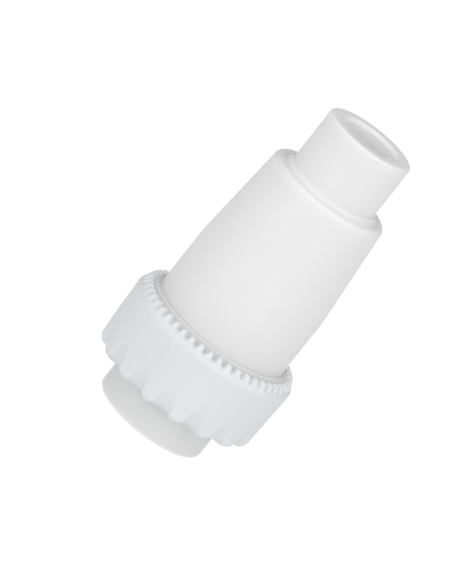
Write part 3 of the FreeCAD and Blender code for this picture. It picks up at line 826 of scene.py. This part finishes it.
class MUFFLER_OT_housing(bpy.types.Operator):
    """Add the tapered housing with its neck, and its thread"""
    bl_idname = "muffler.housing"
    bl_label = "Housing"

    def execute(self, context):
        sizes = context.scene.muffler_housing
        bottom, top = node_bottom("housing"), node_top("housing")
        taper_start = bottom + sizes.straight
        shoulder = bottom + sizes.body_length
        slope = math.tan(sizes.taper)
        bore = sizes.body_radius - sizes.body_wall
        inner_step = node_top("liner_tube")
        seat_radius = node_radius("outlet_screen") + FACE_GAP
        seat_top = node_top("outlet_screen")
        narrow = bore - (inner_step - taper_start) * slope
        shoulder_radius = sizes.body_radius - (shoulder - taper_start) * slope + 0.1 * MM
        neck_step = PIPE_RADIUS + sizes.collar_width
        neck_start = shoulder + sizes.collar_height
        crest = context.scene.muffler_thread.housing_crest
        land_bottom = sizes.land_top - sizes.land_height
        corners = [
            (bore, bottom, 0.2 * MM), (sizes.thread_root, bottom, 0.3 * MM),
            (sizes.thread_root, land_bottom, 0.2 * MM), (crest, land_bottom + 0.3 * MM, 0.2 * MM),
            (crest, sizes.land_top, 0.35 * MM), (sizes.body_radius, sizes.land_top, 0.25 * MM),
            (sizes.body_radius, taper_start, 60 * MM),
            (shoulder_radius, shoulder, sizes.shoulder_round),
            (neck_step + 0.5 * MM, shoulder, 1.0 * MM), (neck_step - 0.35 * MM, neck_start, 0.8 * MM),
            (PIPE_RADIUS, neck_start + 0.5 * MM, 1.2 * MM), (PIPE_RADIUS, top, 1.3 * MM),
            (sizes.outlet_radius, top, 1.5 * MM), (sizes.outlet_radius, seat_top, 0.25 * MM),
            (seat_radius, seat_top, 0.1 * MM), (seat_radius, inner_step, 0.3 * MM),
            (narrow, inner_step, 0.1 * MM), (bore, taper_start, 20 * MM)]
        shell = turned_ring("housing_shell", corners, step=1.2 * MM, sharp_angle=50)
        fit_piece(shell, "housing")
        thread = context.scene.muffler_thread
        ridge = thread_ridge("housing_thread", sizes.thread_root, crest, thread.pitch,
                             bottom + thread.pitch / 2, land_bottom - thread.pitch / 4)
        fit_piece(ridge, "housing", stands_for=False)
        return {"FINISHED"}


class MUFFLER_OT_union_nut(bpy.types.Operator):
    """Add the union nut with its lobes and crown, and its thread"""
    bl_idname = "muffler.union_nut"
    bl_label = "Union nut"

    def execute(self, context):
        sizes = context.scene.muffler_nut
        thread = context.scene.muffler_thread
        bottom = node_bottom("union_nut")
        corner = bottom + sizes.height
        crown_top = node_top("union_nut")
        bore = node_inner_tail()
        housing = context.scene.muffler_housing
        land_bottom = housing.land_top - housing.land_height
        corners = [
            (bore, bottom, 0.4 * MM), (NUT_RADIUS - sizes.draft, bottom, FOOT_ROUND),
            (NUT_RADIUS, corner, 0.5 * MM), (NUT_RADIUS - sizes.crown_inset, crown_top, 0.35 * MM),
            (sizes.crown_bore, crown_top, 0.3 * MM),
            (sizes.crown_bore, land_bottom - FACE_GAP, 0.1 * MM),
            (sizes.thread_root, land_bottom - 0.4 * MM, 0.1 * MM),
            (sizes.thread_root, bottom + sizes.floor, 0.4 * MM), (bore, bottom + sizes.floor, 0.3 * MM)]
        loop = rounded_loop(corners)
        columns = sizes.teeth * 16
        angle = np.arange(columns)[None, :] * TURN / columns
        radius, height = np.broadcast_arrays(loop[:, :1], loop[:, 1:], angle)[:2]
        radius = self.cut_flutes(sizes, bottom, radius, height, angle)
        height = self.cut_teeth(sizes, crown_top, height, angle)
        points = turned_points(radius, height, columns)
        faces = grid_faces(len(loop), columns, True, True)[:, ::-1]
        shell = mesh_piece("union_nut_shell", points, faces, sharp_angle=50)
        fit_piece(shell, "union_nut")
        ridge = thread_ridge("union_nut_thread", sizes.thread_root, thread.nut_crest, thread.pitch,
                             node_bottom("housing") + thread.pitch, land_bottom - thread.pitch / 4)
        fit_piece(ridge, "union_nut", stands_for=False)
        return {"FINISHED"}

    def cut_flutes(self, sizes, bottom, radius, height, angle):
        """Lower the outside to flat-floored flutes that deepen and widen towards the foot.

        A flute's floor is the plane at a distance d(z) from the bore, so its radius at an
        angle a from the flute's middle is d / cos a.  Past its half width w(z) the flank
        rises by 1 / flare of the way across, with a soft corner.  The flare goes from the
        soft one above the waist to its own at the foot.  The wall is the soft minimum of both.
        Below the waist, d and w follow a power of the share of the way down.
        """
        first = -TURN / 4 + sizes.turn + TURN / sizes.lobes / 2
        pitch = TURN / sizes.lobes
        off = (angle - first + pitch / 2) % pitch - pitch / 2
        bevel = bottom + sizes.bevel_height
        waist = bottom + sizes.waist_height
        foot_depth = sizes.draft + sizes.flute_depth
        down = np.clip((waist - height) / (waist - bevel), 0, 1) ** FLUTE_POWER
        depth = np.interp(height, (waist, bottom + sizes.flute_height,
                                   bottom + sizes.flute_height + 4 * MM),
                          (sizes.waist_depth, sizes.head_depth, -2 * MM))
        depth += down * (foot_depth - sizes.waist_depth)
        depth += np.clip((bevel - height) / sizes.bevel_height, 0, 1) * sizes.bevel_width
        floor = NUT_RADIUS - depth
        width = np.interp(height, (waist, bottom + sizes.flute_height),
                          (sizes.waist_width, sizes.head_width))
        width += down * (sizes.flute_foot - sizes.waist_width)
        flank = soft_rise(np.abs(floor * np.tan(off)) - width / 2, FLANK_SOFTNESS)
        flank /= sizes.soft_flare + down * (sizes.flare - sizes.soft_flare)
        flute = floor / np.cos(off) + flank
        outside = radius > NUT_RADIUS - GRIP_WALL
        wall = np.where(outside & (height < bottom + FLUTES_END),
                        soft_min(radius, flute, FLUTE_EDGE), radius)
        rim = NUT_RADIUS - sizes.draft - FOOT_ROUND
        edge = soft_min(rim, flute, FLUTE_EDGE)
        bore = node_inner_tail() + 0.4 * MM
        share = (radius - bore) / (rim - bore)
        bottom_face = (height < bottom + NEAR) & (radius > bore)
        return np.where(bottom_face, bore + share * (edge - bore), wall)

    def cut_teeth(self, sizes, crown_top, height, angle):
        """Lower the crown between its teeth: above the valleys, height is scaled by a wave
        that is 1 over a tooth, next to 0 in a valley, and a smooth step between them."""
        first = -TURN / 4 + sizes.turn
        pitch = TURN / sizes.teeth
        off = np.abs((angle - first + pitch / 2) % pitch - pitch / 2) * 2 / pitch
        raised = smooth_step((TOOTH_FOOT - off) / (TOOTH_FOOT - TOOTH_TIP))
        wave = VALLEY_SHARE + (1 - VALLEY_SHARE) * raised
        valley = crown_top - sizes.tooth_height
        return np.where(height > valley, valley + (height - valley) * wave, height)


class MUFFLER_OT_inlet_tail(bpy.types.Operator):
    """Add the inlet tail with its socket and collar, its O-ring and the slip ring under it"""
    bl_idname = "muffler.inlet_tail"
    bl_label = "Inlet tail"

    def execute(self, context):
        sizes = context.scene.muffler_tail
        top = node_top("inlet_tail")
        outside = PIPE_RADIUS + sizes.wall
        collar = node_radius("inlet_tail")
        collar_bottom = node_top("slip_ring") + FACE_GAP
        recess_floor = node_bottom("carrier_gasket")
        recess = node_radius("carrier_gasket") + FACE_GAP
        passage = PIPE_RADIUS - sizes.stop_width
        cord = (node_top("tail_o_ring") - node_bottom("tail_o_ring")) / 2
        cord_radius = node_radius("tail_o_ring") - cord
        inner, outer = cord_radius - sizes.groove_width / 2, cord_radius + sizes.groove_width / 2
        floor = top - sizes.groove_depth
        corners = [
            (PIPE_RADIUS, 0, 0.5 * MM), (outside, 0, sizes.edge), (outside, collar_bottom, 0.3 * MM),
            (collar, collar_bottom, 0.3 * MM), (collar, top, 0.6 * MM),
            (outer, top, 0.1 * MM), (outer, floor, 0.1 * MM),
            (inner, floor, 0.1 * MM), (inner, top, 0.1 * MM),
            (recess, top, 0.2 * MM), (recess, recess_floor, 0.1 * MM),
            (passage, recess_floor, 0.2 * MM), (passage, sizes.socket_depth, 0.3 * MM),
            (PIPE_RADIUS, sizes.socket_depth, 0.3 * MM)]
        fit_piece(turned_ring("inlet_tail_shell", corners, sharp_angle=50), "inlet_tail")
        turn = np.arange(24)[:, None] * TURN / 24
        points = turned_points(cord_radius + cord * np.cos(turn),
                               node_bottom("tail_o_ring") + cord * (1 + np.sin(turn)), AROUND)
        ring = mesh_piece("o_ring_cord", points, grid_faces(24, AROUND, True, True)[:, ::-1])
        fit_piece(ring, "tail_o_ring")
        slip = plain_ring("slip_ring_shell", node_inner_tail(), node_radius("slip_ring"),
                          node_bottom("slip_ring"), node_top("slip_ring"), sizes.slip_edge)
        fit_piece(slip, "slip_ring")
        return {"FINISHED"}


class MUFFLER_OT_cartridge(bpy.types.Operator):
    """Add the silencing cartridge: carrier, seals, element, cap, rod, washers and nuts"""
    bl_idname = "muffler.cartridge"
    bl_label = "Cartridge"

    def execute(self, context):
        sizes = context.scene.muffler_cartridge
        tail = context.scene.muffler_tail
        core = node_radius("support_tube")
        spigot = core - sizes.core_wall - FACE_GAP
        rod = node_radius("tie_rod")
        carrier_top, cap_bottom = node_bottom("support_tube"), node_top("support_tube")
        self.add_carrier(sizes, spigot, rod + FACE_GAP, carrier_top)
        self.add_cap(sizes, spigot, rod + FACE_GAP, cap_bottom)
        self.add_seals(PIPE_RADIUS - tail.stop_width, core + FACE_GAP, carrier_top, cap_bottom)
        self.add_element(sizes, core + FACE_GAP)
        self.add_rod(sizes, rod)
        return {"FINISHED"}

    def add_carrier(self, sizes, spigot, rod_hole, flange_top):
        inside = spigot - sizes.spigot_wall
        outside = node_radius("cartridge_carrier")
        bottom, top = node_bottom("cartridge_carrier"), node_top("cartridge_carrier")
        corners = [(inside, bottom, 0.3 * MM), (outside, bottom, 0.3 * MM),
                   (outside, flange_top, 0.4 * MM), (spigot, flange_top, 0.2 * MM),
                   (spigot, top, 0.3 * MM), (inside, top, 0.3 * MM)]
        hub_bottom = top - sizes.spoke_height - HUB_DROP
        parts = [turned_ring("flange", corners),
                 plain_ring("hub", rod_hole, sizes.hub_radius, hub_bottom, top, 0.3 * MM)]
        for index in range(sizes.spokes):
            parts.append(radial_bar(rod_hole + 0.4 * MM, inside + sizes.spigot_wall / 2,
                                    sizes.spoke_width, hub_bottom, hub_bottom + sizes.spoke_height,
                                    TURN * (index + 0.5) / sizes.spokes))
        fit_piece(joined("carrier_with_spokes", parts), "cartridge_carrier")

    def add_cap(self, sizes, spigot, rod_hole, bottom):
        plug_bottom, fin_top = node_bottom("cartridge_cap"), node_top("cartridge_cap")
        outside = node_radius("silencing_element") + 0.4 * MM
        top = node_bottom("cap_nut") - sizes.washer_thickness
        corners = [(rod_hole, plug_bottom, 0.2 * MM), (spigot, plug_bottom, 0.4 * MM),
                   (spigot, bottom, 0.2 * MM), (outside, bottom, 0.3 * MM),
                   (outside, top, 0.6 * MM), (rod_hole, top, 0.2 * MM)]
        parts = [turned_ring("plug", corners)]
        for index in range(sizes.fins):
            parts.append(radial_bar(sizes.fin_start, node_radius("cartridge_cap"), FIN_WIDTH,
                                    bottom, fin_top, TURN * index / sizes.fins))
        fit_piece(joined("cap_with_fins", parts), "cartridge_cap")

    def add_seals(self, passage, core, carrier_top, cap_bottom):
        gasket = plain_ring("carrier_gasket_ring", passage, node_radius("carrier_gasket"),
                            node_bottom("carrier_gasket"), node_top("carrier_gasket"), 0.25 * MM)
        fit_piece(gasket, "carrier_gasket")
        outside = node_radius("element_gaskets")
        element_bottom, element_top = node_bottom("silencing_element"), node_top("silencing_element")
        lower = plain_ring("lower", core, outside, carrier_top, element_bottom, 0.25 * MM)
        upper = plain_ring("upper", core, outside, element_top, cap_bottom, 0.25 * MM)
        fit_piece(joined("element_gasket_rings", [lower, upper]), "element_gaskets")

    def add_element(self, sizes, inner):
        outer = node_radius("silencing_element")
        bottom, top = node_bottom("silencing_element"), node_top("silencing_element")
        corners = [(inner, bottom, 0.3 * MM), (outer, bottom, 0.5 * MM), (outer, top, 0.5 * MM),
                   (inner, top, 0.3 * MM)]
        fit_piece(rough_ring("sintered_element", corners, sizes.grain, 0.25, 3), "silencing_element")

    def add_rod(self, sizes, rod):
        """The rod's radius is rod - thread |2 u - 1|, where u is the share of a turn in
        z / pitch - angle / 2 pi, so a ridge climbs it as a right-hand helix."""
        low, high = node_bottom("tie_rod"), node_top("tie_rod")
        height = np.linspace(low, high, int((high - low) / (sizes.rod_pitch / 8)))[:, None]
        turn = np.arange(32)[None, :] / 32
        groove = np.abs(2 * ((height / sizes.rod_pitch - turn) % 1) - 1)
        to_end = np.minimum(height - low, high - height)
        radius = np.minimum(rod - sizes.rod_thread * groove, rod - 0.4 * MM + to_end)
        fit_piece(capped_tube("threaded_rod", turned_points(radius, height, 32), 80), "tie_rod")
        washer_radius = node_radius("tie_rod_washers")
        rings = []
        for name, bottom in (("lower", node_top("lower_rod_nut")),
                             ("upper", node_bottom("cap_nut") - sizes.washer_thickness)):
            rings.append(plain_ring(name, rod + FACE_GAP, washer_radius, bottom,
                                    bottom + sizes.washer_thickness, 0.12 * MM))
        fit_piece(joined("washer_rings", rings), "tie_rod_washers")
        self.add_nut(sizes, rod, "lower_rod_nut", "lower_hexagon_nut", 0)
        self.add_nut(sizes, rod, "cap_nut", "domed_hexagon_nut", sizes.dome)

    def add_nut(self, sizes, rod, node, name, dome):
        """A hexagon whose corners are cut by a 30 degree cone, and a dome if there is one.

        The dome's radius at an angle a up its quarter is r cos a, and its height d sin a.
        """
        columns = 96
        corner = hexagon_radius(sizes.nut_flats, columns)[None, :]
        flat = np.full((1, columns), 0.475 * sizes.nut_flats)
        cut = (corner - flat) * math.tan(math.radians(30))
        bottom, top = node_bottom(node), node_top(node) - dome
        hole = np.full((1, columns), rod)
        even = np.ones((1, columns))
        rows = [(hole, (top if dome else bottom) * even)]
        rows += [(hole, bottom * even)] if dome else []
        rows += [(flat, bottom * even), (corner, bottom + cut), (corner, top - cut), (flat, top * even)]
        if dome:
            for angle in np.linspace(0, TURN / 4 - 0.06, 12):
                rows.append((even * 0.44 * sizes.nut_flats * math.cos(angle),
                             even * (top + dome * math.sin(angle))))
        else:
            rows.append((hole, top * even))
        radius = np.concatenate([row[0] for row in rows])
        height = np.concatenate([row[1] for row in rows])
        points = turned_points(radius, height, columns)
        if dome:
            piece = capped_tube(name, points, 25)
        else:
            piece = mesh_piece(name, points, grid_faces(len(rows), columns, True, True)[:, ::-1], 25)
        fit_piece(piece, node)


class MUFFLER_OT_lining(bpy.types.Operator):
    """Add the felt lining with its retainer, and both snap rings"""
    bl_idname = "muffler.lining"
    bl_label = "Lining"

    def execute(self, context):
        sizes = context.scene.muffler_lining
        housing = context.scene.muffler_housing
        felt_bottom, felt_top = node_bottom("absorber_sleeve"), node_top("absorber_sleeve")
        inner = node_radius("liner_tube") + FACE_GAP
        outer = node_radius("absorber_sleeve")
        taper_start = node_bottom("housing") + housing.straight
        narrow = outer - (felt_top - taper_start) * math.tan(housing.taper)
        corners = [(inner, felt_bottom, 0.2 * MM), (outer, felt_bottom, 0.8 * MM),
                   (outer, taper_start, 20 * MM), (narrow, felt_top, 0.8 * MM),
                   (inner, felt_top, 0.2 * MM)]
        fit_piece(rough_ring("felt_sleeve", corners, sizes.nap, 0.12, 5), "absorber_sleeve")
        retainer = plain_ring("retainer_ring", node_radius("liner_tube") - 0.6 * MM,
                              node_radius("lining_retainer"), node_bottom("lining_retainer"),
                              node_top("lining_retainer"), 0.2 * MM)
        fit_piece(retainer, "lining_retainer")
        for node in ("lining_snap_ring", "outlet_snap_ring"):
            outside = node_radius(node)
            ring = open_ring(node + "_band", outside - sizes.snap_width, outside, node_bottom(node),
                             node_top(node), 0, TURN - sizes.snap_opening)
            fit_piece(ring, node)
        return {"FINISHED"}


class MUFFLER_OT_outlet_screen(bpy.types.Operator):
    """Add the outlet's woven screen in its pressed rim"""
    bl_idname = "muffler.outlet_screen"
    bl_label = "Outlet screen"

    def execute(self, context):
        sizes = context.scene.muffler_lining
        bottom, top = node_bottom("outlet_screen"), node_top("outlet_screen")
        outside = node_radius("outlet_screen")
        rim = plain_ring("rim", outside - sizes.screen_rim, outside, bottom, top, 0.2 * MM)
        wires = [rim]
        reach = outside - sizes.screen_rim / 2
        middle = (bottom + top) / 2
        count = int(reach / sizes.wire_pitch)
        for index in range(-count, count + 1):
            for across in (False, True):
                wires.append(self.woven_wire(sizes, index, across, reach, middle))
        fit_piece(joined("woven_screen", wires), "outlet_screen")
        return {"FINISHED"}

    def woven_wire(self, sizes, index, across, reach, middle):
        """A wire whose middle swings by half its diameter: (d / 2) cos(pi s / pitch + pi k).

        s is the place along the wire, and k its number, one more for the wires across."""
        offset = index * sizes.wire_pitch
        half = math.sqrt(reach ** 2 - offset ** 2)
        along = np.linspace(-half, half, max(4, int(half / (0.12 * sizes.wire_pitch))))[:, None]
        swing = sizes.wire / 2 * np.cos(np.pi * (along / sizes.wire_pitch + index + across))
        turn = np.arange(8)[None, :] * TURN / 8
        side = offset + sizes.wire / 2 * np.cos(turn) + 0 * along
        up = middle + swing + sizes.wire / 2 * np.sin(turn)
        along = along + 0 * turn
        points = (side, along, up) if across else (along, side, up)
        return capped_tube("wire", np.stack(points, axis=-1), 80)


class MUFFLER_OT_finishes(bpy.types.Operator):
    """Give every CAD node that still shows its material"""
    bl_idname = "muffler.finishes"
    bl_label = "Finishes"

    def execute(self, context):
        for name, node in frame["nodes"].items():
            node.data.materials.clear()
            node.data.materials.append(slot_material(node_slot(name)))
        return {"FINISHED"}


OPERATORS = (MUFFLER_OT_stage, MUFFLER_OT_housing, MUFFLER_OT_union_nut, MUFFLER_OT_inlet_tail,
             MUFFLER_OT_cartridge, MUFFLER_OT_lining, MUFFLER_OT_outlet_screen, MUFFLER_OT_finishes)
GROUPS = {"muffler_tail": TailSizes, "muffler_cartridge": CartridgeSizes,
          "muffler_lining": LiningSizes, "muffler_housing": HousingSizes,
          "muffler_nut": NutSizes, "muffler_thread": ThreadSizes,
          "muffler_colours": FinishColours, "muffler_view": ViewSizes}


class MUFFLER_PT_panel(bpy.types.Panel):
    """Lists the muffler's pieces"""
    bl_idname = "MUFFLER_PT_panel"
    bl_label = "Muffler"
    bl_space_type = "VIEW_3D"
    bl_region_type = "UI"
    bl_category = "Muffler"

    def draw(self, context):
        for operator in OPERATORS:
            self.layout.operator(operator.bl_idname)


def register():
    for name, group in GROUPS.items():
        bpy.utils.register_class(group)
        setattr(bpy.types.Scene, name, bpy.props.PointerProperty(type=group))
    for operator in OPERATORS:
        bpy.utils.register_class(operator)
    bpy.utils.register_class(MUFFLER_PT_panel)


def unregister():
    bpy.utils.unregister_class(MUFFLER_PT_panel)
    for operator in reversed(OPERATORS):
        bpy.utils.unregister_class(operator)
    for name, group in reversed(GROUPS.items()):
        delattr(bpy.types.Scene, name)
        bpy.utils.unregister_class(group)


def main():
    register()
    for operator in OPERATORS:
        group, name = operator.bl_idname.split(".")
        getattr(getattr(bpy.ops, group), name)()


if __name__ == "__main__":
    main()
